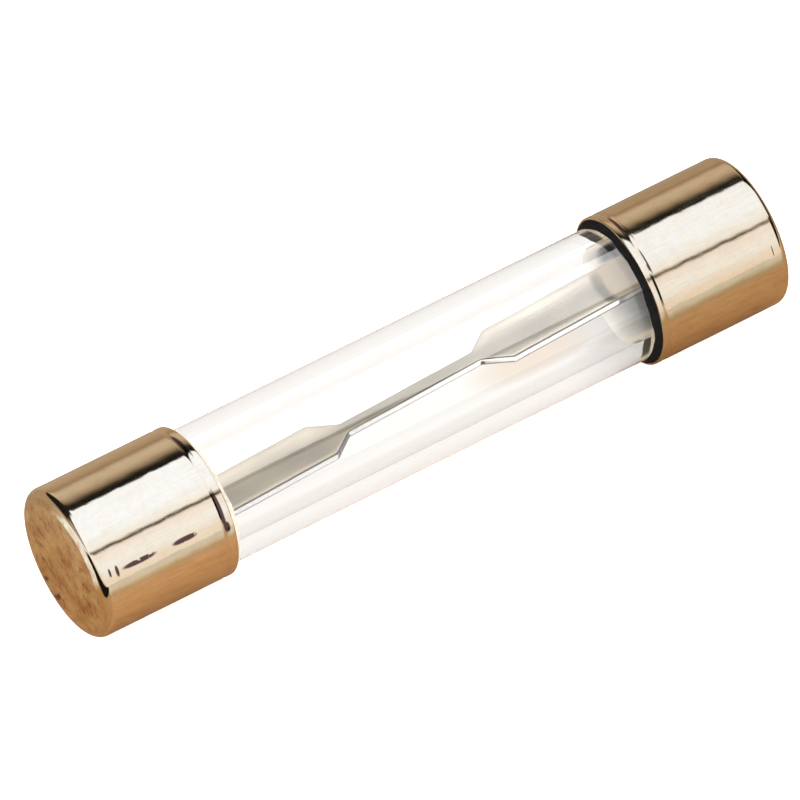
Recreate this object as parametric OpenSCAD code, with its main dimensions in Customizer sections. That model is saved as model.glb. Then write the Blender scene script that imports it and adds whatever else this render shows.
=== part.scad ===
// Glass-tube cartridge fuse, 1/4 x 1-1/4 inch class: a clear tube, two drawn brass end caps
// and a flat necked strip soldered between them. The long axis is X, the origin is the
// middle of the fuse, and every cap feature is drawn once about Z and then laid along X.

/* [Fuse] */
// Overall length, outer face to outer face
fuse_length = 31.75; // [28:0.25:34]

/* [End caps] */
// Outer diameter of the caps' cylinders
cap_diameter = 6.35; // [6.2:0.05:6.6]
// Length of each cap, closed face to mouth
cap_length = 6.05; // [5:0.05:7]
// Thickness of the drawn side wall
cap_wall = 0.22; // [0.18:0.01:0.28]
// Thickness of the closed end
cap_end_wall = 0.35; // [0.25:0.05:0.5]
// Rounding between the closed end and the side
cap_edge_radius = 0.36; // [0.2:0.02:0.5]
// Width of the rim that falls away round the closed face, side wall rounding included
rim_width = 0.62; // [0.52:0.02:0.9]
// Slope of that rim, in degrees
rim_tilt = 8; // [2:0.5:12]
// Distance of the rolled groove's middle from the mouth
lip_width = 0.36; // [0.26:0.02:0.5]
// Depth of the groove behind the lip
groove_depth = 0.03; // [0.01:0.005:0.05]
// How far the mouth opens out on the inside to guide the tube in
bell_height = 0.13; // [0.06:0.01:0.15]
// Length over which the mouth opens out
bell_length = 0.45; // [0.3:0.05:0.8]

/* [Rating marks] */
// Number of blank stamped bars round each closed end
mark_count = 8; // [0:1:12]
// Depth of the stamped bars
mark_depth = 0.03; // [0.02:0.005:0.1]

/* [Glass tube] */
// Outer diameter of the tube
tube_diameter = 5.7; // [5.5:0.05:5.75]
// Diameter of the tube's bore
tube_bore = 4.3; // [3.9:0.1:4.6]
// Length of the tube
tube_length = 30.1; // [26:0.1:30.6]
// Rounding of the fire-polished tube ends
tube_end_radius = 0.2; // [0.1:0.05:0.3]

/* [Fuse strip] */
// Width of the strip's two broad ends
strip_width = 2.5; // [2:0.05:2.8]
// Thickness of the strip
strip_thickness = 0.3; // [0.15:0.05:0.4]
// Width of the neck that melts
neck_width = 0.75; // [0.4:0.05:1.2]
// Length of the neck
neck_length = 6.2; // [3:0.1:8]
// Length of the taper between the neck and each broad end
taper_length = 1.05; // [0.5:0.05:2]
// Slope of the strip from one side of the bore to the other, in degrees
strip_slope = 2.8; // [0:0.1:3]
// Turn of the strip about the long axis, in degrees from level
strip_turn = 20; // [0:5:90]

/* [Solder and cement] */
// Length of the solder plug from the cap's inner face into the bore
solder_length = 1.5; // [1:0.1:2.2]
// Height of the solder's domed face
solder_dome = 0.5; // [0.2:0.1:0.8]
// Distance of the cement behind the cap's mouth where it meets the cap
cement_setback = 0.05; // [0.02:0.01:0.3]
// How far the cement runs out past the mouth along the glass
cement_fillet = 0.22; // [0:0.02:0.4]

/* [Hidden] */
$fn = 96;

BRASS = "goldenrod";
cap_radius = cap_diameter / 2;
cap_inner_radius = cap_radius - cap_wall;
inner_corner_radius = 0.15;
lip_edge_radius = 0.05;
groove_radius = 0.30;
// The flat of the closed face, the sloping rim round it and the height where the side starts
flat_radius = cap_radius - rim_width;
rim_radius = cap_radius - cap_edge_radius * (1 - sin(rim_tilt));
rim_drop = (rim_radius - flat_radius) * tan(rim_tilt);
side_start = rim_drop + cap_edge_radius * cos(rim_tilt);
// Radius of the arc that rises bell_height over bell_length
bell_radius = (bell_height * bell_height + bell_length * bell_length) / (2 * bell_height);
tube_radius = tube_diameter / 2;
bore_radius = tube_bore / 2;
// Distance from a cap's closed outer face to the end of the tube inside it
tube_inset = (fuse_length - tube_length) / 2;

// Stamped bars: blank blocks on two short arcs, one above and one below the centre
mark_size = [0.42, 0.8];
mark_ring_radius = 1.75;
mark_pitch = 26;

// The strip stops just short of the caps' closed ends
strip_end_gap = 0.12;
strip_length = fuse_length - 2 * (cap_end_wall + strip_end_gap);
broad_length = (strip_length - neck_length) / 2 - taper_length;

solder_flange_radius = cap_inner_radius - 0.2;
solder_bore_gap = 0.1;
solder_plug_radius = bore_radius - solder_bore_gap;
// Radius of the sphere whose cap, solder_dome high, closes the plug
dome_radius = (solder_plug_radius * solder_plug_radius + solder_dome * solder_dome) / (2 * solder_dome);
eps = 0.01;

// Puts a shape drawn along +Z from a closed end at z = 0 onto the left or right end of the fuse
module at_end(side) {
    translate([side * fuse_length / 2, 0, 0]) rotate([0, -90 * side, 0]) children();
}

// Half section of a cap in radius and height, closed face at the bottom
module cap_section() {
    difference() {
        union() {
            polygon([[0, 0], [flat_radius, 0], [rim_radius, rim_drop],
                     [rim_radius, side_start], [0, side_start]]);
            translate([cap_radius - cap_edge_radius, side_start]) circle(cap_edge_radius);
            translate([0, side_start])
                square([cap_radius, cap_length - side_start - lip_edge_radius]);
            translate([0, side_start])
                square([cap_radius - lip_edge_radius, cap_length - side_start]);
            translate([cap_radius - lip_edge_radius, cap_length - lip_edge_radius])
                circle(lip_edge_radius);
        }
        cap_cavity_section();
        translate([cap_radius + groove_radius - groove_depth, cap_length - lip_width])
            circle(groove_radius);
    }
}

// Half section of the space inside a cap: rounded inner corner and bell mouth
module cap_cavity_section() {
    corner = cap_inner_radius - inner_corner_radius;
    bell_start = cap_length - bell_length;
    translate([-eps, cap_end_wall]) square([corner + eps, cap_length]);
    translate([-eps, cap_end_wall + inner_corner_radius]) square([cap_inner_radius + eps, cap_length]);
    translate([corner, cap_end_wall + inner_corner_radius]) circle(inner_corner_radius);
    difference() {
        translate([0, bell_start]) square([cap_inner_radius + bell_height, bell_length + eps]);
        translate([cap_inner_radius + bell_radius, bell_start]) circle(bell_radius, $fn = 720);
    }
}

// Blank bars pressed into a closed end, in place of a rating stamp
module stamped_marks() {
    per_arc = mark_count / 2;
    for (i = [0 : mark_count - 1]) {
        arc_side = i < per_arc ? 90 : 270;
        step = (i % per_arc) - (per_arc - 1) / 2;
        rotate([0, 0, arc_side + step * mark_pitch])
            translate([mark_ring_radius - mark_size[1] / 2, -mark_size[0] / 2, -eps])
                cube([mark_size[1], mark_size[0], mark_depth + eps]);
    }
}

module end_cap(side) {
    color(BRASS) at_end(side) difference() {
        rotate_extrude() cap_section();
        stamped_marks();
    }
}

module left_cap() end_cap(-1);
module right_cap() end_cap(1);

// Open glass tube with fire-polished ends
module glass_tube() {
    wall = tube_radius - bore_radius;
    flat_wall = wall - 2 * tube_end_radius;
    color("lightcyan", 0.35) translate([-tube_length / 2, 0, 0]) rotate([0, 90, 0])
        rotate_extrude() translate([bore_radius, 0]) {
            translate([0, tube_end_radius]) square([wall, tube_length - 2 * tube_end_radius]);
            translate([tube_end_radius, 0]) square([flat_wall, tube_length]);
            for (x = [tube_end_radius, wall - tube_end_radius])
                for (y = [tube_end_radius, tube_length - tube_end_radius])
                    translate([x, y]) circle(tube_end_radius);
        }
}

// Flat outline of the strip, long axis along X
module strip_outline() {
    half = [for (side = [1, -1]) [for (p = [[strip_length / 2, strip_width / 2],
                                            [neck_length / 2 + taper_length, strip_width / 2],
                                            [neck_length / 2, neck_width / 2]]) [p[0] * side, p[1]]]];
    upper = [half[0][0], half[0][1], half[0][2], half[1][2], half[1][1], half[1][0]];
    lower = [for (i = [5 : -1 : 0]) [upper[i][0], -upper[i][1]]];
    polygon(concat(upper, lower));
}

// The strip turned about the long axis, its right end raised along its own normal
module placed_strip() {
    rotate([-strip_turn, 0, 0]) rotate([0, -strip_slope, 0])
        translate([0, 0, -strip_thickness / 2]) linear_extrude(strip_thickness) strip_outline();
}

module fuse_strip() {
    color("silver") placed_strip();
}

// Solder pooled on the cap's floor and domed into the bore, frozen round the strip's end
module end_solder(side) {
    color("lightgray") difference() {
        at_end(side) rotate_extrude() {
            translate([0, cap_end_wall]) square([solder_flange_radius, tube_inset - cap_end_wall]);
            translate([0, cap_end_wall])
                square([solder_plug_radius, solder_length - solder_dome]);
            intersection() {
                translate([0, cap_end_wall + solder_length - dome_radius]) circle(dome_radius);
                translate([0, cap_end_wall]) square([solder_plug_radius, solder_length]);
            }
        }
        placed_strip();
    }
}

module left_solder() end_solder(-1);
module right_solder() end_solder(1);

// Cement filling the gap between the tube and a cap, run out past the bell mouth onto the glass
module cement_ring(side) {
    start = tube_inset + tube_end_radius;
    outer_radius = cap_inner_radius + bell_height;
    face = cap_length - cement_setback;
    color("dimgray") at_end(side) rotate_extrude() difference() {
        polygon([[tube_radius, start], [outer_radius, start], [outer_radius, face],
                 [tube_radius, cap_length + cement_fillet]]);
        cap_section();
    }
}

module left_cement() cement_ring(-1);
module right_cement() cement_ring(1);

glass_tube();
left_cap();
right_cap();
fuse_strip();
left_solder();
right_solder();
left_cement();
right_cement();
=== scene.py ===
"""Looks for a glass-tube cartridge fuse. Finer caps, glass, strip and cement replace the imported
CAD meshes; the solder keeps its own. Materials are procedural, and the stage is a pale floor in
soft studio light."""
import math

import bmesh
import bpy
import numpy as np
from mathutils import Matrix, Vector


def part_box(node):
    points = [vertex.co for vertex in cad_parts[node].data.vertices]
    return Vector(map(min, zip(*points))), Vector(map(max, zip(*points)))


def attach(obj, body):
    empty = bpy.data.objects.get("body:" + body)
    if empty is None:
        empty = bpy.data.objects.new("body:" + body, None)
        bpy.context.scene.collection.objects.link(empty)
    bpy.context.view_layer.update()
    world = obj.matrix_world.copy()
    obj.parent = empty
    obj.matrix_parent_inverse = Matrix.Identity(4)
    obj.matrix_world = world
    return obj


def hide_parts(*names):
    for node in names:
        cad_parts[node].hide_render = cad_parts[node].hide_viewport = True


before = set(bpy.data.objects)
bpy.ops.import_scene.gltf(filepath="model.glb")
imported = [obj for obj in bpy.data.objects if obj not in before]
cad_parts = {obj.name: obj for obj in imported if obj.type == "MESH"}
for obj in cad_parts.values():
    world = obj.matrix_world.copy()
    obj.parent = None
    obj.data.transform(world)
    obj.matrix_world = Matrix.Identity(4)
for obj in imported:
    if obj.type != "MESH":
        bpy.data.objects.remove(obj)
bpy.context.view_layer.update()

MM = 0.001
BODY = "root"


# ---------------------------------------------------------------- measures from the frame
def node_box(name):
    low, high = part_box(name)
    return np.array(low), np.array(high)


cap_low, cap_high = node_box("right_cap")
tube_high = node_box("glass_tube")[1]

HALF_LENGTH = cap_high[0]
CAP_LENGTH = HALF_LENGTH - cap_low[0]
CAP_RADIUS = cap_high[1]
TUBE_RADIUS = tube_high[1]
TUBE_HALF = tube_high[0]
TUBE_INSET = HALF_LENGTH - TUBE_HALF

# The design's own values, which a box can't give
CAP_WALL, END_WALL, EDGE_RADIUS, INNER_CORNER = 0.22 * MM, 0.35 * MM, 0.36 * MM, 0.15 * MM
LIP_WIDTH, LIP_EDGE = 0.36 * MM, 0.05 * MM
GROOVE_DEPTH, GROOVE_RADIUS = 0.03 * MM, 0.30 * MM
# A rim round the closed face falls away towards the rounded edge
RIM_WIDTH, RIM_TILT = 0.62 * MM, math.radians(8)
BELL_HEIGHT, BELL_LENGTH = 0.13 * MM, 0.45 * MM
BORE_RADIUS, GLASS_END_RADIUS = 2.15 * MM, 0.2 * MM
CAP_BORE = CAP_RADIUS - CAP_WALL
STRIP_WIDTH, STRIP_THICKNESS = 2.5 * MM, 0.3 * MM
NECK_WIDTH, NECK_LENGTH, TAPER_LENGTH = 0.75 * MM, 6.2 * MM, 1.05 * MM
STRIP_END_GAP = 0.12 * MM
STRIP_TURN, STRIP_SLOPE = math.radians(20), math.radians(2.8)
CEMENT_FILLET = 0.22 * MM
# Pieces that touch keep this much air between them, so no two surfaces coincide
SKIN = 0.003 * MM


# ---------------------------------------------------------------- mesh helpers
def new_object(name, verts, faces, sharp_angle=40):
    mesh = bpy.data.meshes.new(name)
    mesh.from_pydata([tuple(v) for v in verts], [], faces)
    mesh.validate()
    bm = bmesh.new()
    bm.from_mesh(mesh)
    bmesh.ops.recalc_face_normals(bm, faces=bm.faces)
    bm.to_mesh(mesh)
    bm.free()
    for polygon in mesh.polygons:
        polygon.use_smooth = True
    mesh.set_sharp_from_angle(angle=math.radians(sharp_angle))
    obj = bpy.data.objects.new(name, mesh)
    bpy.context.scene.collection.objects.link(obj)
    return obj


def lathe(name, profile, side, segments=256, closed=False, shape=None, sharp_angle=40):
    """Turns a profile of (depth from the end face, radius) points about X.
    side is +1 for the right end and -1 for the left. shape may move the points."""
    depth = np.array([p[0] for p in profile])
    radius = np.array([p[1] for p in profile])
    angle = np.arange(segments) * 2 * math.pi / segments
    d = np.repeat(depth[:, None], segments, 1)
    r = np.repeat(radius[:, None], segments, 1)
    a = np.repeat(angle[None], len(profile), 0)
    if shape is not None:
        d, r = shape(d, r, a)
    grid = np.stack([side * (HALF_LENGTH - d), r * np.cos(a), r * np.sin(a)], -1)
    verts, index = [], np.zeros(grid.shape[:2], int)
    for i in range(len(profile)):
        if radius[i] < 1e-9:
            index[i] = len(verts)
            verts.append(grid[i, 0])
        else:
            index[i] = len(verts) + np.arange(segments)
            verts.extend(grid[i])
    faces = []
    for i in range(len(profile) if closed else len(profile) - 1):
        near, far = index[i], index[(i + 1) % len(profile)]
        for j in range(segments):
            k = (j + 1) % segments
            corner = [int(near[j]), int(near[k]), int(far[k]), int(far[j])]
            face = [v for n, v in enumerate(corner) if v not in corner[:n]]
            if len(face) >= 3:
                faces.append(face)
    return new_object(name, verts, faces, sharp_angle)


def arc(centre, radius, start, stop, steps):
    """Points (depth, radius) on an arc. Angles in degrees: 0 is deeper, 90 is outward."""
    angles = np.radians(np.linspace(start, stop, steps))
    return [(centre[0] + radius * math.cos(t), centre[1] + radius * math.sin(t)) for t in angles]


def line(start, stop, steps):
    start, stop = np.array(start), np.array(stop)
    return [tuple(start + (stop - start) * t) for t in np.linspace(0, 1, steps)]


def smooth(t):
    t = np.clip(t, 0, 1)
    return t * t * (3 - 2 * t)


# ---------------------------------------------------------------- material helpers
def material(name):
    mat = bpy.data.materials.new(name)
    mat.use_nodes = True
    return mat, mat.node_tree, mat.node_tree.nodes["Principled BSDF"]


def add_node(tree, kind, **values):
    n = tree.nodes.new(kind)
    for key, value in values.items():
        if key in n.inputs:
            n.inputs[key].default_value = value
        else:
            setattr(n, key, value)
    return n


def coords(tree, scale=(1, 1, 1)):
    source = add_node(tree, "ShaderNodeTexCoord")
    mapping = add_node(tree, "ShaderNodeMapping", Scale=scale)
    tree.links.new(source.outputs["Object"], mapping.inputs["Vector"])
    return mapping.outputs["Vector"]


def noise(tree, vector, size, detail=4.0, roughness=0.5):
    """Noise whose features are about size metres across, from 0 to 1."""
    n = add_node(tree, "ShaderNodeTexNoise", Scale=1 / size, Detail=detail, Roughness=roughness)
    tree.links.new(vector, n.inputs["Vector"])
    return n.outputs["Fac"]


def math_node(tree, operation, a, b=None):
    n = add_node(tree, "ShaderNodeMath", operation=operation)
    for socket, value in zip(n.inputs, (a, b)):
        if value is None:
            continue
        if isinstance(value, (int, float)):
            socket.default_value = value
        else:
            tree.links.new(value, socket)
    return n.outputs[0]


def axis_value(tree, axis, vector=None):
    parts = add_node(tree, "ShaderNodeSeparateXYZ")
    tree.links.new(vector if vector is not None else coords(tree), parts.inputs[0])
    return parts.outputs[axis]


def times(tree, a, b):
    return math_node(tree, "MULTIPLY", a, b)


def sum_of_squares(tree, a, b):
    return math_node(tree, "ADD", times(tree, a, a), times(tree, b, b))


def distance_from(tree, point):
    """Distance of the shaded place from a point of the object."""
    n = add_node(tree, "ShaderNodeVectorMath", operation="DISTANCE")
    tree.links.new(coords(tree), n.inputs[0])
    n.inputs[1].default_value = tuple(point)
    return n.outputs["Value"]


def along_direction(tree, direction):
    """How far the shaded place lies from the object's origin along a direction."""
    n = add_node(tree, "ShaderNodeVectorMath", operation="DOT_PRODUCT")
    tree.links.new(coords(tree), n.inputs[0])
    n.inputs[1].default_value = tuple(direction)
    return n.outputs["Value"]


def span(tree, value, low, high):
    """0 at low, 1 at high, clamped."""
    n = add_node(tree, "ShaderNodeMapRange", interpolation_type="SMOOTHSTEP")
    n.inputs["From Min"].default_value = low
    n.inputs["From Max"].default_value = high
    tree.links.new(value, n.inputs["Value"])
    return n.outputs["Result"]


def mix(tree, factor, a, b, blend="MIX"):
    n = add_node(tree, "ShaderNodeMix", data_type="RGBA", blend_type=blend)
    for socket, value in ((n.inputs[0], factor), (n.inputs[6], a), (n.inputs[7], b)):
        if isinstance(value, (int, float)):
            socket.default_value = value
        elif isinstance(value, tuple):
            socket.default_value = (*value, 1)
        else:
            tree.links.new(value, socket)
    return n.outputs[2]


def ramp(tree, factor, stops):
    r = add_node(tree, "ShaderNodeValToRGB")
    elements = r.color_ramp.elements
    while len(elements) < len(stops):
        elements.new(0.5)
    for element, (position, colour) in zip(elements, stops):
        element.position = position
        element.color = (*colour, 1)
    tree.links.new(factor, r.inputs["Fac"])
    return r.outputs["Color"]


def grey(v):
    return (v, v, v)


def scaled(colour, k):
    return tuple(c * k for c in colour)


def bump(tree, bsdf, height, distance):
    b = add_node(tree, "ShaderNodeBump", Strength=1.0, Distance=distance)
    tree.links.new(height, b.inputs["Height"])
    tree.links.new(b.outputs["Normal"], bsdf.inputs["Normal"])


# ---------------------------------------------------------------- materials
GOLD = (0.90, 0.68, 0.42)
UNCHANGED = (1.0, 1.0, 1.0)
# Dark ovals on a cap's side: (middle along X in mm, angle from straight up towards -Y, half
# length mm, half angle). Those at x near ±10.2 mm lie in the groove by the mouth: painted shade.
LEFT_DARK_OVALS = [(-14.02, 55.8, 0.74, 1.9), (-11.95, 56.4, 0.56, 2.0),
               (-15.02, 55.5, 0.07, 4.2), (-15.34, 54.5, 0.05, 3.2),
               (-10.19, 50.0, 0.085, 16.0), (-10.13, 62.5, 0.12, 4.0),
               (-10.17, -10.0, 0.08, 12.0)]
RIGHT_DARK_OVALS = [(10.18, 24.0, 0.035, 10.0), (10.15, 29.0, 0.05, 3.0),
                (15.2, 58.0, 0.022, 4.0), (10.17, -14.0, 0.06, 12.0)]
# Dirt in small dents on the left cap's closed face: (y, z, radius mm)
LEFT_DENTS = [(1.36, -2.19, 0.11), (1.27, -2.06, 0.11), (1.16, -1.90, 0.08),
              (0.56, -2.47, 0.13), (0.44, -2.33, 0.12), (0.32, -2.15, 0.10),
              (1.50, -1.08, 0.07), (0.05, -2.12, 0.07)]
# Dark ovals with a half length above this are torn into flecks
TORN_ABOVE = 0.3
# Depths over which the closed face's looks end and the pressed bars' dirt and painted shade begin
FACE_ENDS, BAR_DARKENING_BEGINS = (0.06 * MM, 0.01 * MM), (0.002 * MM, 0.012 * MM)
# The bars lie within this distance of the axis
MARKS_WITHIN = 2.4 * MM


def dark_oval_mask(tree, x, angle, dark_oval):
    """An oval with soft edges on the side of a cap."""
    centre, middle, half_x, half_angle = dark_oval
    dx = math_node(tree, "DIVIDE", math_node(tree, "SUBTRACT", x, centre * MM), half_x * MM)
    da = math_node(tree, "SUBTRACT", angle, math.radians(middle))
    da = math_node(tree, "DIVIDE", da, math.radians(half_angle))
    square = math_node(tree, "ADD", math_node(tree, "POWER", math_node(tree, "ABSOLUTE", dx), 2.6),
                       math_node(tree, "POWER", math_node(tree, "ABSOLUTE", da), 2.0))
    return span(tree, square, 1.5, 0.5)


def polished_tint(tree, gold):
    """Brass a little cloudy, warmer in places and streaked along the drawing direction."""
    cloudy = noise(tree, coords(tree), 0.40 * MM, 6, 0.68)
    tint = ramp(tree, cloudy, [(0.3, scaled(gold, 0.95)), (0.5, gold), (0.72, scaled(gold, 1.03))])
    warm = noise(tree, coords(tree, (0.6, 1, 1)), 0.22 * MM, 4, 0.6)
    warmth = ramp(tree, warm, [(0.45, UNCHANGED), (0.65, (1.01, 0.97, 0.92))])
    tint = mix(tree, 1.0, tint, warmth, "MULTIPLY")
    streak = noise(tree, coords(tree, (0.05, 1, 1)), 0.09 * MM, 3, 0.6)
    streaks = ramp(tree, streak, [(0.36, grey(0.96)), (0.55, UNCHANGED)])
    return mix(tree, 1.0, tint, streaks, "MULTIPLY")


def face_tarnish(tree):
    """Dull blotches and reddish freckles, which multiply the closed face's tint."""
    blotch = noise(tree, coords(tree), 0.75 * MM, 3, 0.6)
    dull = ramp(tree, blotch, [(0.36, (0.80, 0.62, 0.50)), (0.46, (0.96, 0.92, 0.84)),
                               (0.56, (1.06, 1.06, 0.92)), (0.66, (1.18, 1.26, 1.25))])
    fleck = noise(tree, coords(tree), 0.22 * MM, 3, 0.55)
    freckle = ramp(tree, fleck, [(0.33, (0.72, 0.53, 0.45)), (0.44, UNCHANGED),
                                 (0.58, UNCHANGED), (0.68, (1.18, 1.16, 1.0))])
    face = mix(tree, 1.0, dull, freckle, "MULTIPLY")
    return mix(tree, 1.0, face, (1.05, 1.12, 1.14), "MULTIPLY")


def with_dark_ovals(tree, tint, dark_ovals):
    """Puts dark ovals on the side of a cap; those in the groove by the mouth are painted shade."""
    x, y, z = (axis_value(tree, axis) for axis in "XYZ")
    angle = math_node(tree, "ARCTAN2", times(tree, y, -1.0), z)
    patchy = span(tree, noise(tree, coords(tree), 0.3 * MM, 3, 0.6), 0.36, 0.46)
    for dark_oval in dark_ovals:
        darkened = dark_oval_mask(tree, x, angle, dark_oval)
        if dark_oval[2] > TORN_ABOVE:
            darkened = times(tree, darkened, patchy)
        tint = mix(tree, darkened, tint, (0.11, 0.055, 0.045))
    return tint


def with_dents(tree, tint, dents):
    """Puts ragged spots of dirt on the left cap's closed face."""
    ragged = times(tree, noise(tree, coords(tree), 0.16 * MM, 3, 0.6), 0.3 * MM)
    for y, z, radius in dents:
        offset = distance_from(tree, (-HALF_LENGTH, y * MM, z * MM))
        reach = math_node(tree, "ADD", offset, ragged)
        dirty = span(tree, reach, (radius * 1.5 + 0.15) * MM, (radius * 0.7 + 0.13) * MM)
        tint = mix(tree, times(tree, dirty, 0.85), tint, (0.09, 0.04, 0.03))
    return tint


def brass_material(name, tone, smoothest, roughest, dark_ovals, dents=()):
    """Polished, tarnished brass with a dull closed face, dark ovals and soft waves; painted shade
    darkens the groove by the mouth and, with dirt, the pressed bars.
    """
    mat, tree, bsdf = material(name)
    bsdf.inputs["Metallic"].default_value = 1.0
    x, y, z = (axis_value(tree, axis) for axis in "XYZ")
    depth = math_node(tree, "SUBTRACT", HALF_LENGTH, math_node(tree, "ABSOLUTE", x))
    tint = polished_tint(tree, tuple(g * t for g, t in zip(GOLD, tone)))
    on_face = span(tree, depth, *FACE_ENDS)
    tint = mix(tree, 1.0, tint, mix(tree, on_face, UNCHANGED, face_tarnish(tree)), "MULTIPLY")
    # Dirt and painted shade of the recess darken the pressed bars
    near_axis = math_node(tree, "LESS_THAN", sum_of_squares(tree, y, z), MARKS_WITHIN ** 2)
    pressed = times(tree, span(tree, depth, *BAR_DARKENING_BEGINS), near_axis)
    tint = mix(tree, 1.0, tint, mix(tree, pressed, UNCHANGED, (0.74, 0.66, 0.60)), "MULTIPLY")
    tint = with_dents(tree, with_dark_ovals(tree, tint, dark_ovals), dents)
    tree.links.new(tint, bsdf.inputs["Base Color"])

    drawn = noise(tree, coords(tree, (0.12, 1, 1)), 0.08 * MM, 4, 0.65)
    rough = ramp(tree, drawn, [(0.35, grey(smoothest)), (0.7, grey(roughest))])
    tree.links.new(mix(tree, on_face, rough, grey(0.2)), bsdf.inputs["Roughness"])
    fine = noise(tree, coords(tree, (0.5, 1, 1)), 0.14 * MM, 3, 0.6)
    bump(tree, bsdf, fine, 0.0012 * MM)
    return mat


def glass_material():
    mat, tree, bsdf = material("clear_glass")
    bsdf.inputs["Transmission Weight"].default_value = 1.0
    bsdf.inputs["IOR"].default_value = 1.5
    haze = noise(tree, coords(tree), 0.6 * MM, 4, 0.6)
    tint = ramp(tree, haze, [(0.3, (0.99, 0.982, 0.97)), (0.7, (0.997, 0.99, 0.983))])
    tree.links.new(tint, bsdf.inputs["Base Color"])
    bsdf.inputs["Roughness"].default_value = 0.0
    return mat


# Turns the strip's own directions (along, across, up) into the fuse's
STRIP_FRAME = Matrix.Rotation(-STRIP_TURN, 3, "X") @ Matrix.Rotation(-STRIP_SLOPE, 3, "Y")
# A dark speck on the near edge where the neck's right end starts to widen: along, across, up
SPECK = (NECK_LENGTH / 2 + 0.03 * MM, -NECK_WIDTH / 2 - 0.02 * MM, -0.04 * MM)
# Heights over the strip's middle plane at which its cut edge, the painted shade lines along its
# rounded corners and along its lower corner, and its rolled faces begin
EDGE_HEIGHT, CORNER_SHADE_HEIGHT = (0.125 * MM, 0.085 * MM), (0.098 * MM, 0.112 * MM)
LOWER_SHADE_HEIGHT, FACE_HEIGHT = (-0.045 * MM, -0.065 * MM), (0.143 * MM, 0.134 * MM)


def strip_material():
    """Rolled zinc, darker at the left, with painted shade lines along its corners: fine rolling
    lines and a slightly mottled sheen.
    """
    mat, tree, bsdf = material("rolled_zinc")
    bsdf.inputs["Metallic"].default_value = 1.0
    rolling = noise(tree, coords(tree, (0.03, 1, 1)), 0.12 * MM, 2, 0.5)
    cloud = noise(tree, coords(tree, (0.4, 1, 1)), 0.6 * MM, 1, 0.5)
    # Darker at the left, lighter towards the right
    towards_right = span(tree, axis_value(tree, "X"), -3 * MM, 6.5 * MM)
    strip_colour = mix(tree, towards_right, (0.487, 0.42, 0.312), (0.66, 0.605, 0.52))
    # The cut edges have a greyer tint than the rolled faces
    height = along_direction(tree, STRIP_FRAME @ Vector((0, 0, 1)))
    on_edge = span(tree, height, *EDGE_HEIGHT)
    edge_tint = mix(tree, towards_right, (0.36, 0.353, 0.342), (0.66, 0.62, 0.56))
    strip_colour = mix(tree, on_edge, strip_colour, edge_tint)
    # A painted shade line runs along each rounded corner between a face and an edge
    from_middle = math_node(tree, "ABSOLUTE", height)
    off_face = span(tree, from_middle, *FACE_HEIGHT)
    corner = times(tree, span(tree, from_middle, *CORNER_SHADE_HEIGHT), off_face)
    strip_colour = mix(tree, corner, strip_colour, (0.15, 0.138, 0.13))
    # The painted shade line along the lower corner of the right broad end is browner and wider
    lower = times(tree, span(tree, height, *LOWER_SHADE_HEIGHT), off_face)
    on_right = span(tree, axis_value(tree, "X"), 3.6 * MM, 4.6 * MM)
    lower = times(tree, lower, on_right)
    strip_colour = mix(tree, lower, strip_colour, (0.16, 0.125, 0.10))
    lines = ramp(tree, rolling, [(0.35, grey(0.94)), (0.6, grey(1.03))])
    tint = mix(tree, 1.0, strip_colour, lines, "MULTIPLY")
    speck = span(tree, distance_from(tree, STRIP_FRAME @ Vector(SPECK)), 0.12 * MM, 0.07 * MM)
    tree.links.new(mix(tree, speck, tint, grey(0.02)), bsdf.inputs["Base Color"])
    rough = ramp(tree, cloud, [(0.3, grey(0.15)), (0.7, grey(0.2))])
    tree.links.new(rough, bsdf.inputs["Roughness"])
    bump(tree, bsdf, cloud, 0.004 * MM)
    return mat


def solder_material():
    mat, tree, bsdf = material("frozen_solder")
    bsdf.inputs["Metallic"].default_value = 1.0
    grain = noise(tree, coords(tree), 0.3 * MM, 5, 0.6)
    tint = ramp(tree, grain, [(0.3, grey(0.42)), (0.7, grey(0.62))])
    tree.links.new(tint, bsdf.inputs["Base Color"])
    rough = ramp(tree, grain, [(0.3, grey(0.28)), (0.7, grey(0.5))])
    tree.links.new(rough, bsdf.inputs["Roughness"])
    bump(tree, bsdf, noise(tree, coords(tree), 0.15 * MM, 4, 0.5), 0.01 * MM)
    return mat


# Painted shade on the cement behind the glass: brightness by distance from the cap's closed end
# (mm)
CEMENT_SHADE = [(4.0, 0.10), (4.5, 0.18), (4.9, 0.36), (5.3, 0.60), (5.8, 0.85), (6.2, 1.0)]
# The way to the tube's upper outline in the picture, from +Y towards +Z; its front is at right
# angles to that
EDGE_DIRECTION = math.radians(35.3)


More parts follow.
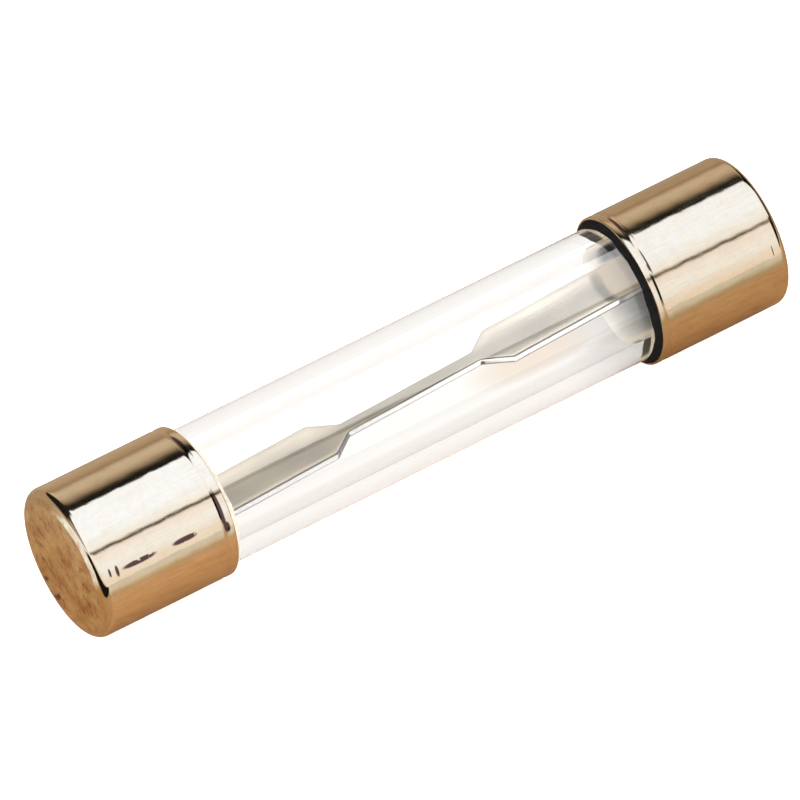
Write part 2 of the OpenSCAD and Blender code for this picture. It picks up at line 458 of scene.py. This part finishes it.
def hidden_cement_tint(tree, pale, depth, by_edge):
    """The cement that shows through the glass: painted shade deeper inside the cap and on the far
    side, and a painted cream highlight at the outlines.
    """
    y, z = axis_value(tree, "Y"), axis_value(tree, "Z")
    patchy = noise(tree, coords(tree), 0.7 * MM, 4, 0.6)
    wavering = math_node(tree, "ADD", depth, times(tree, patchy, 0.5 * MM))
    wavering = math_node(tree, "SUBTRACT", wavering, 0.25 * MM)
    first, last = CEMENT_SHADE[0][0], CEMENT_SHADE[-1][0]
    share = math_node(tree, "DIVIDE", math_node(tree, "SUBTRACT", wavering, first * MM),
                      (last - first) * MM)
    fade = ramp(tree, share, [((d - first) / (last - first), grey(v)) for d, v in CEMENT_SHADE])
    tint = mix(tree, 1.0, pale, fade, "MULTIPLY")
    # A painted cream highlight near the tube's outlines, close to the mouth
    cream = times(tree, span(tree, by_edge, 0.84, 0.92),
                  span(tree, depth, CAP_LENGTH - 1.5 * MM, CAP_LENGTH - 1.0 * MM))
    tint = mix(tree, cream, tint, (0.97, 0.87, 0.69))
    # Painted shade between cap and glass on the far side
    theta = math_node(tree, "ARCTAN2", z, y)
    run = times(tree, span(tree, theta, math.radians(-22), math.radians(-16)),
                span(tree, theta, math.radians(14), math.radians(2)))
    run = times(tree, run,
                span(tree, wavering, CAP_LENGTH - 0.2 * MM, CAP_LENGTH - 0.8 * MM))
    return mix(tree, run, tint, (0.035, 0.04, 0.035))


def cement_material(name, open_colours):
    """Pale cement, with painted shade towards the inside of the cap, and given colours in the open.
    """
    mat, tree, bsdf = material(name)
    grain = noise(tree, coords(tree), 0.2 * MM, 5, 0.6)
    pale = ramp(tree, grain, [(0.3, (0.90, 0.88, 0.83)), (0.7, (0.97, 0.95, 0.90))])
    outside = ramp(tree, grain, [(0.3, open_colours[0]), (0.7, open_colours[1])])
    x, y, z = (axis_value(tree, axis) for axis in "XYZ")
    depth = math_node(tree, "SUBTRACT", HALF_LENGTH, math_node(tree, "ABSOLUTE", x))
    radius = math_node(tree, "SQRT", sum_of_squares(tree, y, z))
    upward = along_direction(tree, (0, math.cos(EDGE_DIRECTION), math.sin(EDGE_DIRECTION)))
    by_edge = math_node(tree, "ABSOLUTE", math_node(tree, "DIVIDE", upward, radius))
    forward = along_direction(tree, (0, -math.sin(EDGE_DIRECTION), math.cos(EDGE_DIRECTION)))
    in_front = math_node(tree, "DIVIDE", forward, radius)

    # The face open to the air, and the thin toe at the front where it ends on the glass
    exposed = span(tree, radius, TUBE_RADIUS + 2 * SKIN, TUBE_RADIUS + 6 * SKIN)
    toe = times(tree, span(tree, depth, CAP_LENGTH - 0.06 * MM, CAP_LENGTH - 0.02 * MM),
                span(tree, in_front, -0.30, -0.15))
    exposed = math_node(tree, "MAXIMUM", exposed, toe)
    tint = mix(tree, exposed, hidden_cement_tint(tree, pale, depth, by_edge), outside)
    tree.links.new(tint, bsdf.inputs["Base Color"])
    rough = ramp(tree, grain, [(0.3, grey(0.75)), (0.7, grey(0.9))])
    tree.links.new(rough, bsdf.inputs["Roughness"])
    bsdf.inputs["Specular IOR Level"].default_value = 0.1
    bump(tree, bsdf, grain, 0.01 * MM)
    return mat


LEFT_BRASS = brass_material("brass_left", (1.01, 1.02, 1.04), 0.03, 0.09, LEFT_DARK_OVALS, LEFT_DENTS)
# The right cap's brass is a little darker than the left's: it is more tarnished, and the rest is
# painted shade for the dimmer light it reflects
RIGHT_BRASS = brass_material("brass_right", (0.97, 0.96, 0.95), 0.04, 0.13, RIGHT_DARK_OVALS)
GLASS = glass_material()
ZINC = strip_material()
SOLDER = solder_material()
LEFT_CEMENT = cement_material("cement_left", ((0.40, 0.36, 0.30), (0.55, 0.50, 0.42)))
RIGHT_CEMENT = cement_material("cement_right", ((0.002, 0.002, 0.002), (0.008, 0.007, 0.006)))


def dress(obj, mat, slot, *replaced):
    obj.data.materials.clear()
    obj.data.materials.append(mat)
    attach(obj, BODY)
    for name in replaced:
        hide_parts(name)
    return obj


# ---------------------------------------------------------------- end caps
# Blank bars pressed into the closed faces, with walls that slope over MARK_SOFT
MARK_COUNT, MARK_PITCH = 8, math.radians(26)
MARK_RING, MARK_LENGTH, MARK_WIDTH = 1.75 * MM, 0.8 * MM, 0.42 * MM
MARK_DEPTH, MARK_SOFT = 0.015 * MM, 0.20 * MM
# Waves in a cap's side: relative height, waves per mm of depth, lobes round the cap, share of seed
DRAWN_WAVES = [(1.2, 0.35, 3, 1.0), (0.8, 0.8, -9, 2.1), (0.7, 1.15, 15, 0.7),
               (0.5, 0.55, -22, 3.3)]
WAVE_HEIGHT, WAVE_FADE = 0.0009 * MM, 0.4 * MM
CAP_SEGMENTS, TUBE_SEGMENTS, CEMENT_SEGMENTS = 384, 256, 192


def stamped_face(r, a):
    """Depth of the blank rating bars pressed into the closed face."""
    y, z = r * np.cos(a), r * np.sin(a)
    press = np.zeros_like(r)
    per_arc = MARK_COUNT // 2
    for i in range(MARK_COUNT):
        base = 0 if i < per_arc else math.pi
        t = base + ((i % per_arc) - (per_arc - 1) / 2) * MARK_PITCH
        along = y * math.cos(t) + z * math.sin(t) - MARK_RING
        across = -y * math.sin(t) + z * math.cos(t)
        inside = np.minimum(MARK_LENGTH / 2 - np.abs(along), MARK_WIDTH / 2 - np.abs(across))
        press = np.maximum(press, smooth(inside / MARK_SOFT))
    return press * MARK_DEPTH


def drawn_waves(d, a, seed):
    """The few microns by which a drawn wall is out of true, always inward."""
    k = 2 * math.pi / MM
    wave = sum(height * np.sin(per_mm * k * d + lobes * a + share * seed)
               for height, per_mm, lobes, share in DRAWN_WAVES)
    highest = sum(height for height, *_ in DRAWN_WAVES)
    return WAVE_HEIGHT * (wave - highest)


def cap_shape(seed):
    """Presses the bars into the closed face and puts waves in the side."""
    def shape(d, r, a):
        outside = (d < END_WALL * 0.1) & (r < CAP_RADIUS - RIM_WIDTH)
        d = d + np.where(outside, stamped_face(r, a), 0)
        wall = (r > CAP_BORE + CAP_WALL * 0.7) & (d > EDGE_RADIUS)
        fade = (smooth((d - 1.2 * EDGE_RADIUS) / WAVE_FADE)
                * smooth((CAP_LENGTH - LIP_WIDTH - 0.1 * MM - d) / WAVE_FADE))
        return d, r + np.where(wall, drawn_waves(d, a, seed) * fade, 0)
    return shape


def bell_arc(offset, depth_limit, steps):
    """The flared inside of the mouth from its start to depth_limit, moved inward by offset."""
    radius = (BELL_HEIGHT ** 2 + BELL_LENGTH ** 2) / (2 * BELL_HEIGHT)
    start = CAP_LENGTH - BELL_LENGTH
    reach = math.degrees(math.asin((depth_limit - start) / radius))
    points = arc((start, CAP_BORE + radius), radius, -90, -90 + reach, steps)
    return [(d, r - offset) for d, r in points]


def cap_profile():
    """Half section of a cap, from the middle of its closed face round to the middle inside.
    Each line or arc ends with its count of points."""
    flat = CAP_RADIUS - RIM_WIDTH
    rim_top = CAP_RADIUS - EDGE_RADIUS * (1 - math.sin(RIM_TILT))
    rim_drop = (rim_top - flat) * math.tan(RIM_TILT)
    side_start = rim_drop + EDGE_RADIUS * math.cos(RIM_TILT)
    face = line((0, 0), (0, flat), 62)
    rim = line((0, flat), (rim_drop, rim_top), 8)[1:-1]
    edge_centre = (side_start, CAP_RADIUS - EDGE_RADIUS)
    edge = arc(edge_centre, EDGE_RADIUS, 180 - math.degrees(RIM_TILT), 90, 20)
    groove_centre = (CAP_LENGTH - LIP_WIDTH, CAP_RADIUS + GROOVE_RADIUS - GROOVE_DEPTH)
    lean = math.degrees(math.acos(1 - GROOVE_DEPTH / GROOVE_RADIUS))
    groove = arc(groove_centre, GROOVE_RADIUS, -90 - lean, -90 + lean, 13)
    side = line((side_start, CAP_RADIUS), groove[0], 90)[1:-1]
    lip = arc((CAP_LENGTH - LIP_EDGE, CAP_RADIUS - LIP_EDGE), LIP_EDGE, 90, 0, 8)
    bell = bell_arc(0, CAP_LENGTH, 14)[::-1]
    bore = line(bell[-1], (END_WALL + INNER_CORNER, CAP_BORE), 20)[1:]
    corner = (END_WALL + INNER_CORNER, CAP_BORE - INNER_CORNER)
    inner = arc(corner, INNER_CORNER, 90, 180, 8)[1:]
    floor = line(inner[-1], (END_WALL, 0), 10)[1:]
    return face + rim + edge + side + groove + lip + bell + bore + inner + floor


for side, name, brass in ((-1, "left", LEFT_BRASS), (1, "right", RIGHT_BRASS)):
    cap = lathe(f"{name}_cap_drawn", cap_profile(), side, CAP_SEGMENTS, shape=cap_shape(1.7 + side))
    dress(cap, brass, "brass", f"{name}_cap")


# ---------------------------------------------------------------- glass tube
def tube_profile():
    """Half section of the tube with its fire-polished ends, going round once."""
    g = GLASS_END_RADIUS
    near, far = TUBE_INSET + g, TUBE_INSET + 2 * TUBE_HALF - g
    points = line((near, TUBE_RADIUS), (far, TUBE_RADIUS), 60)
    points += arc((far, TUBE_RADIUS - g), g, 90, 0, 8)[1:]
    points += arc((far, BORE_RADIUS + g), g, 0, -90, 8)
    points += line((far, BORE_RADIUS), (near, BORE_RADIUS), 60)[1:]
    points += arc((near, BORE_RADIUS + g), g, -90, -180, 8)[1:]
    points += arc((near, TUBE_RADIUS - g), g, 180, 90, 8)[:-1]
    return points


tube = lathe("glass_tube_clear", tube_profile(), 1, TUBE_SEGMENTS, closed=True, sharp_angle=80)
dress(tube, GLASS, "glass", "glass_tube")
tube.visible_shadow = False


# ---------------------------------------------------------------- cement
# Lobes in how far the cement ran out: share, lobes round the ring, start
FILLET_LOBES = [(0.18, 3, 0.5), (0.12, 7, 2.0), (0.06, 16, 0.0)]
# It ran out further by this share at the tube's upper and lower outline
FILLET_AT_EDGE = 0.6


def cement_profile():
    """The gap between glass and cap, with a fillet of cement squeezed out onto the glass."""
    start = TUBE_INSET + GLASS_END_RADIUS
    inner = TUBE_RADIUS + SKIN
    flush = CAP_LENGTH - 0.02 * MM
    outer = line((start, CAP_BORE - SKIN), (CAP_LENGTH - BELL_LENGTH, CAP_BORE - SKIN), 12)
    outer += bell_arc(SKIN, flush, 10)[1:]
    rim = outer[-1]
    toe = (CAP_LENGTH + CEMENT_FILLET, inner)
    fillet = [(rim[0] + (toe[0] - rim[0]) * t, rim[1] + (toe[1] - rim[1]) * t ** 0.7)
              for t in np.linspace(0, 1, 8)][1:]
    return outer + fillet + line(toe, (start, inner), 14)[1:]


def uneven_fillet(d, r, a):
    """The cement did not run out equally far all round."""
    reach = 1 + sum(share * np.sin(lobes * a + start) for share, lobes, start in FILLET_LOBES)
    reach = reach + FILLET_AT_EDGE * np.cos(a - EDGE_DIRECTION) ** 4
    return np.where(d > CAP_LENGTH, CAP_LENGTH + (d - CAP_LENGTH) * reach, d), r


for side, name, cement in ((-1, "left", LEFT_CEMENT), (1, "right", RIGHT_CEMENT)):
    ring = lathe(f"{name}_cement_ring", cement_profile(), side, CEMENT_SEGMENTS, closed=True,
                 shape=uneven_fillet)
    dress(ring, cement, "cement", f"{name}_cement")


# ---------------------------------------------------------------- fuse strip
EDGE_ROUND = 0.07 * MM
# Behind its middle line the strip curls up very slightly, round this radius
DISH_RADIUS = 8.0 * MM
# Ripples over the strip: height, radians per mm along and across, start
RIPPLES = [(0.005 * MM, 1.7, 1.3, 0.0), (0.002 * MM, 4.7, -2.9, 1.0)]
# Dish and ripple die out over this length past this distance from the middle, before the solder
CALM_FROM, CALM_LENGTH = 11.5 * MM, 2.5 * MM


def strip_half_width(x):
    """Half the strip's width at distance x from its middle."""
    t = smooth_corner((abs(x) - NECK_LENGTH / 2) / TAPER_LENGTH)
    return (NECK_WIDTH + (STRIP_WIDTH - NECK_WIDTH) * t) / 2


def smooth_corner(t):
    """A straight taper from 0 to 1 with slightly rounded ends."""
    soft = 0.05
    if t <= -soft:
        return 0.0
    if t >= 1 + soft:
        return 1.0
    if t < soft:
        return (t + soft) ** 2 / (4 * soft)
    if t > 1 - soft:
        return 1 - (1 + soft - t) ** 2 / (4 * soft)
    return t


def strip_stations():
    """Places along the strip, closest together at the tapers."""
    half = HALF_LENGTH - END_WALL - STRIP_END_GAP
    neck = NECK_LENGTH / 2
    marks = [neck - 0.1 * MM, neck + TAPER_LENGTH + 0.1 * MM, half]
    right = np.concatenate([np.linspace(0, marks[0], 24)[:-1],
                            np.linspace(marks[0], marks[1], 40)[:-1],
                            np.linspace(marks[1], marks[2], 60)])
    return np.concatenate([-right[:0:-1], right])


def strip_section(half_width):
    """Rounded rectangle, going round once: (across, up)."""
    y, z, bend = half_width - EDGE_ROUND, STRIP_THICKNESS / 2 - EDGE_ROUND, EDGE_ROUND
    centres = ((y, z), (-y, z), (-y, -z), (y, -z))
    corners = [arc(centre, bend, 90 * n, 90 * n + 90, 7) for n, centre in enumerate(centres)]
    points = []
    for n, corner in enumerate(corners):
        # More points across the faces than up the edges
        count = 10 if n % 2 == 0 else 3
        points += corner + line(corner[-1], corners[(n + 1) % 4][0], count + 1)[1:-1]
    return points


def strip_mesh():
    """The section swept along the strip, dished and rippled, and turned into place."""
    verts, faces = [], []
    stations = strip_stations()
    ring_size = len(strip_section(STRIP_WIDTH / 2))
    for x in stations:
        calm = float(1 - smooth((abs(x) - CALM_FROM) / CALM_LENGTH))
        for across, upward in strip_section(strip_half_width(x)):
            ripple = sum(height * math.sin(x / MM * rate_along + across / MM * rate_across + start)
                         for height, rate_along, rate_across, start in RIPPLES)
            dish = max(across, 0) ** 2 / (2 * DISH_RADIUS)
            verts.append(STRIP_FRAME @ Vector((x, across, upward + (ripple + dish) * calm)))
    for i in range(len(stations) - 1):
        for j in range(ring_size):
            k = (j + 1) % ring_size
            faces.append((i * ring_size + j, i * ring_size + k,
                          (i + 1) * ring_size + k, (i + 1) * ring_size + j))
    faces.append(tuple(range(ring_size)))
    last = (len(stations) - 1) * ring_size
    faces.append(tuple(last + j for j in range(ring_size)))
    return new_object("fuse_strip_stamped", verts, faces, 35)


dress(strip_mesh(), ZINC, "strip_metal", "fuse_strip")

# ---------------------------------------------------------------- CAD solder kept, better material
for name in ("left_solder", "right_solder"):
    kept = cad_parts[name]
    kept.data.materials.clear()
    kept.data.materials.append(SOLDER)

# ---------------------------------------------------------------- stage
FLOOR_Z = -CAP_RADIUS
# Brightness of the plain dome of light
DOME = 2.3
WARM_WHITE = (1.0, 0.98, 0.955)
# The floor's own colour and glow where it is seen through the glass, and its glow elsewhere
THROUGH_GLASS, GLOW_THROUGH_GLASS, SHADOW_LIFT = 0.01, 1.0, 0.45
# Warm light on the floor under the strip's right half: centre x, y and half sizes x, y
WARM_PATCH = (6.3 * MM, 1.1 * MM, 3.4 * MM, 1.5 * MM)
# A ray with a transmission depth above this has crossed the tube's wall twice
DEEP = 3.5
# Painted shadow of the right cap: towards it the floor's glow is halved, over these x, and over
# these y from the back
CAP_SHADOW_CORNER = (6.5 * MM, 12.5 * MM), (5.5 * MM, 3.8 * MM)
# Reflected in the strip, the floor has painted shade directly below it and is pale past here in
# front
PALE_FLOOR_STARTS = (-5 * MM, -9 * MM)


def plane(name, z, half, mat):
    mesh = bpy.data.meshes.new(name)
    corners = [(-half, -half, z), (half, -half, z), (half, half, z), (-half, half, z)]
    mesh.from_pydata(corners, [], [(0, 1, 2, 3)])
    mesh.materials.append(mat)
    obj = bpy.data.objects.new(name, mesh)
    bpy.context.scene.collection.objects.link(obj)
    return obj


def light_path(tree, output):
    return add_node(tree, "ShaderNodeLightPath").outputs[output]


def floor_material():
    """White; seen through the glass it is just short of white, as the glass takes some light."""
    mat, tree, bsdf = material("pale_floor")
    through = math_node(tree, "GREATER_THAN", light_path(tree, "Transmission Depth"), 0.5)
    colour = mix(tree, through, grey(0.86), scaled(WARM_WHITE, THROUGH_GLASS))
    tree.links.new(colour, bsdf.inputs["Base Color"])
    x, y = axis_value(tree, "X"), axis_value(tree, "Y")
    # Painted shadow of the right cap on the floor
    cap_shadow = times(tree, span(tree, x, *CAP_SHADOW_CORNER[0]), span(tree, y, *CAP_SHADOW_CORNER[1]))
    glow = mix(tree, cap_shadow, WARM_WHITE, scaled(WARM_WHITE, 0.5))
    dx = math_node(tree, "DIVIDE", math_node(tree, "SUBTRACT", x, WARM_PATCH[0]), WARM_PATCH[2])
    dy = math_node(tree, "DIVIDE", math_node(tree, "SUBTRACT", y, WARM_PATCH[1]), WARM_PATCH[3])
    patch = times(tree, span(tree, sum_of_squares(tree, dx, dy), 1.0, 0.0), 0.85)
    glow = mix(tree, patch, glow, mix(tree, 1.0, glow, (0.86, 0.75, 0.62), "MULTIPLY"))
    deep = math_node(tree, "GREATER_THAN", light_path(tree, "Transmission Depth"), DEEP)
    glossy = math_node(tree, "GREATER_THAN", light_path(tree, "Glossy Depth"), 0.5)
    mirrored = times(tree, deep, glossy)
    # Painted shade of the strip on the floor, as its reflections see it
    below = mix(tree, span(tree, y, *PALE_FLOOR_STARTS), grey(0.28), grey(2.6))
    glow = mix(tree, mirrored, glow, below)
    tree.links.new(mix(tree, through, grey(SHADOW_LIFT), glow), bsdf.inputs["Emission Color"])
    bsdf.inputs["Emission Strength"].default_value = GLOW_THROUGH_GLASS
    bsdf.inputs["Roughness"].default_value = 0.9
    bsdf.inputs["Specular IOR Level"].default_value = 0.0
    return mat


# Colour of the reflected table by distance in front of the fuse (mm); its tan near the fuse is
# painted shade and warm light round the fuse
TABLE_FRONT = [
    (0.0, (0.64, 0.405, 0.235)), (4.0, (0.66, 0.425, 0.245)), (8.0, (0.70, 0.47, 0.295)),
    (14.0, (0.70, 0.505, 0.345)), (17.0, (0.62, 0.49, 0.36)), (21.0, (0.66, 0.59, 0.49)),
    (27.0, (0.78, 0.76, 0.72)), (40.0, (0.90, 0.95, 1.02)), (73.0, (0.93, 1.0, 1.13)),
    (80.0, (0.93, 1.0, 1.13)),
]
TABLE_BACK = (0.57, 0.47, 0.37)
BACK_STARTS = (3 * MM, 9 * MM)
# The reflected table is cooler towards the right, and darker below the left closed face
COOLER, COOLER_ALONG = (0.86, 0.88, 0.86), (-8 * MM, 8 * MM)
BELOW_FACE, BELOW_FACE_STARTS = grey(0.84), (-15.9 * MM, -16.4 * MM)
# Left of the fuse lies a cream sheet, wider further out, where the table in front of it is dark.
# Each pair is where a look starts and where it is complete, along x or y
TABLE_CREAM = (1.10, 1.26, 1.60)
SHEET_STARTS, SHEET_FRONT = (-19.1 * MM, -19.6 * MM), (-0.3 * MM, 0.5 * MM)
SHEET_BACK, SHEET_FAR_BACK = (5.6 * MM, 4.8 * MM), (8.6 * MM, 7.8 * MM)
SHEET_FAR = (-22.4 * MM, -23.4 * MM)
DARK_STARTS, DARK_ENDS = (-22.4 * MM, -23.2 * MM), (-75 * MM, -60 * MM)
DARK_BACK = (3.3 * MM, 1.9 * MM)


def table_material():
    """The table that only reflections see: tan near the fuse, where it is painted shade and warm
    light, pale further off.
    """
    mat, tree, bsdf = material("table_with_painted_shade")
    x, y = axis_value(tree, "X"), axis_value(tree, "Y")
    share = math_node(tree, "DIVIDE", times(tree, y, -1.0), 80 * MM)
    front = ramp(tree, share, [(d / 80, c) for d, c in TABLE_FRONT])
    colour = mix(tree, span(tree, y, *BACK_STARTS), front, TABLE_BACK)
    fade = mix(tree, span(tree, x, *COOLER_ALONG), UNCHANGED, COOLER)
    colour = mix(tree, 1.0, colour, fade, "MULTIPLY")
    below_face = mix(tree, span(tree, x, *BELOW_FACE_STARTS), UNCHANGED, BELOW_FACE)
    colour = mix(tree, 1.0, colour, below_face, "MULTIPLY")
    grain = noise(tree, coords(tree), 1.3 * MM, 5, 0.65)
    patches = ramp(tree, grain, [(0.3, (0.86, 0.80, 0.74)), (0.5, UNCHANGED),
                                 (0.7, (1.10, 1.12, 1.14))])
    colour = mix(tree, 1.0, colour, patches, "MULTIPLY")
    # Seen in the left closed face
    sheet = times(tree, span(tree, x, *SHEET_STARTS), span(tree, y, *SHEET_FRONT))
    far_back = times(tree, span(tree, x, *SHEET_FAR), span(tree, y, *SHEET_FAR_BACK))
    back = math_node(tree, "MAXIMUM", span(tree, y, *SHEET_BACK), far_back)
    colour = mix(tree, times(tree, sheet, back), colour, TABLE_CREAM)
    dark = times(tree, span(tree, x, *DARK_STARTS), span(tree, y, *DARK_BACK))
    dark = times(tree, dark, span(tree, x, *DARK_ENDS))
    colour = mix(tree, dark, colour, grey(0.01))
    tree.links.new(mix(tree, 1.0, colour, grey(1 / DOME), "MULTIPLY"), bsdf.inputs["Base Color"])
    bsdf.inputs["Roughness"].default_value = 0.9
    bsdf.inputs["Specular IOR Level"].default_value = 0.0
    return mat


floor = plane("floor", FLOOR_Z, 6.0, floor_material())
floor.visible_glossy = False
table = plane("table_seen_in_reflections", FLOOR_Z + 0.01 * MM, 6.0, table_material())
for flag in ("camera", "diffuse", "transmission", "shadow", "volume_scatter"):
    setattr(table, f"visible_{flag}", False)

# Soft light: a plain white dome, and in reflections a long overhead softbox and a front panel,
# as bands round the long axis. Stops are (degrees from straight up, + towards -Y, colour).
PEAK = 6.0
SHADE = 0.012
WALL_BANDS = [
    (-180, grey(0.5)), (-90.5, (0.46, 0.36, 0.27)), (-89.5, (0.37, 0.28, 0.20)),
    (-83, (0.37, 0.31, 0.25)), (-79, (0.50, 0.45, 0.42)), (-74, (0.60, 0.57, 0.56)),
    (-67, (0.60, 0.58, 0.55)), (-62, (0.58, 0.55, 0.51)), (-58, (0.52, 0.49, 0.44)),
    (-54, (0.43, 0.39, 0.35)), (-50, (0.31, 0.28, 0.25)), (-46.5, (0.17, 0.15, 0.14)),
    (-43, grey(0.05)), (-40, grey(SHADE)),
]
CAP_BANDS = WALL_BANDS + [
    (-32.2, grey(SHADE)), (-30.6, (1.05, 1.36, 2.05)), (-4, (1.07, 1.39, 2.14)),
    (12, (1.06, 1.38, 2.10)), (22, (1.02, 1.31, 1.92)), (30, (1.02, 1.24, 1.70)),
    (34.5, (1.0, 1.16, 1.5)), (37.6, grey(0.12)), (39.8, grey(0.12)), (42.5, (0.98, 1.08, 1.4)),
    (50, (1.0, 1.16, 1.55)), (62, (1.0, 1.23, 1.70)), (70, (0.99, 1.18, 1.58)),
    (78, (0.95, 1.04, 1.28)), (86, (0.93, 0.98, 1.12)), (90, (0.92, 0.98, 1.12)), (180, grey(0.5)),
]
GLASS_BANDS = WALL_BANDS + [
    (-32.2, grey(SHADE)), (-30.6, grey(PEAK)), (30, grey(PEAK)), (34.5, grey(PEAK)),
    (36.5, grey(0.0)), (40.5, grey(0.0)), (42.5, grey(2.4)), (90, grey(1.8)), (180, grey(0.5)),
]
POLE_BANDS = [
    (-180, grey(0.3)), (-90, grey(0.3)), (-88, grey(0.0)), (-33, grey(0.0)),
    (-30.6, (1.05, 1.36, 2.05)), (30, (1.02, 1.24, 1.70)), (36, grey(0.0)), (91, grey(0.0)),
    (96, grey(0.3)), (180, grey(0.3)),
]
STRIP_BANDS = [
    (-180, grey(0.5)), (-100, (0.26, 0.247, 0.22)), (-86, (0.28, 0.266, 0.235)),
    (-76, (0.335, 0.32, 0.285)), (-71, (0.58, 0.57, 0.55)), (-65, grey(1.12)), (-58, grey(1.9)),
    (-50, grey(2.05)), (-47, grey(0.05)), (28, grey(0.05)), (45, grey(1.6)), (180, grey(1.2)),
]
# The dome is this much brighter for matt surfaces seen through the whole tube
DEEP_BOOST = 2.0
# In the caps' reflections the room's right end has other bands and is dark at its middle, and
# there is a dark corner at the back on the left. Each pair is a stretch of a direction's X or Y
POLE_STARTS, RIGHT_END = (0.60, 0.68), (0.86, 0.92)
LEFT_CORNER_X, LEFT_CORNER_Y = (-0.05, -0.16), (0.35, 0.5)
END_SHADE = grey(0.002)


def build_world():
    world = bpy.data.worlds.new("studio")
    bpy.context.scene.world = world
    world.use_nodes = True
    tree = world.node_tree
    background = tree.nodes["Background"]
    direction = add_node(tree, "ShaderNodeTexCoord").outputs["Generated"]
    x, y, z = (axis_value(tree, axis, direction) for axis in "XYZ")
    angle = math_node(tree, "ARCTAN2", times(tree, y, -1.0), z)
    share = math_node(tree, "ADD", math_node(tree, "DIVIDE", angle, 2 * math.pi), 0.5)

    def bands(stops):
        return ramp(tree, share, [((d + 180) / 360, scaled(c, 1 / PEAK)) for d, c in stops])

    caps = mix(tree, span(tree, x, *POLE_STARTS), bands(CAP_BANDS), bands(POLE_BANDS))
    caps = mix(tree, span(tree, x, *RIGHT_END), caps, END_SHADE)
    behind_left = times(tree, span(tree, x, *LEFT_CORNER_X), span(tree, y, *LEFT_CORNER_Y))
    caps = mix(tree, behind_left, caps, END_SHADE)

    path = add_node(tree, "ShaderNodeLightPath")
    surface = mix(tree, path.outputs["Is Singular Ray"], caps, bands(GLASS_BANDS))
    glossy = math_node(tree, "GREATER_THAN", path.outputs["Glossy Depth"], 0.5)
    scattered = math_node(tree, "GREATER_THAN", path.outputs["Diffuse Depth"], 0.5)
    mirror = times(tree, glossy, math_node(tree, "SUBTRACT", 1.0, scattered))
    inside = math_node(tree, "GREATER_THAN", path.outputs["Transmission Depth"], 0.5)
    deep = math_node(tree, "GREATER_THAN", path.outputs["Transmission Depth"], DEEP)
    dome = grey(DOME / PEAK)
    reflected = mix(tree, inside, surface, mix(tree, deep, dome, bands(STRIP_BANDS)))
    direct = mix(tree, deep, dome, grey(DOME * DEEP_BOOST / PEAK))
    tree.links.new(mix(tree, mirror, direct, reflected), background.inputs["Color"])
    background.inputs["Strength"].default_value = PEAK


build_world()

# ---------------------------------------------------------------- camera
AZIMUTH, ELEVATION = math.radians(-32.81), math.radians(49.93)
DISTANCE = 672.19 * MM
LENS, SENSOR = 776.9, 36.0
AIM = (0.332 * MM, 0.172 * MM)

camera_data = bpy.data.cameras.new("camera")
camera_data.lens = LENS
camera_data.sensor_width = SENSOR
camera_data.clip_start = 0.01
camera_data.clip_end = 20
camera = bpy.data.objects.new("camera", camera_data)
bpy.context.scene.collection.objects.link(camera)
right = Vector((math.cos(AZIMUTH), math.sin(AZIMUTH), 0))
back = Vector((math.sin(AZIMUTH) * math.cos(ELEVATION), -math.cos(AZIMUTH) * math.cos(ELEVATION),
               math.sin(ELEVATION)))
up = back.cross(right)
place = back * DISTANCE - right * AIM[0] - up * AIM[1]
camera.matrix_world = Matrix((
    (right.x, up.x, back.x, place.x),
    (right.y, up.y, back.y, place.y),
    (right.z, up.z, back.z, place.z),
    (0, 0, 0, 1)))
scene = bpy.context.scene
scene.camera = camera
scene.view_settings.view_transform = "Standard"
scene.cycles.max_bounces = 24
scene.cycles.transmission_bounces = 16
scene.cycles.glossy_bounces = 8
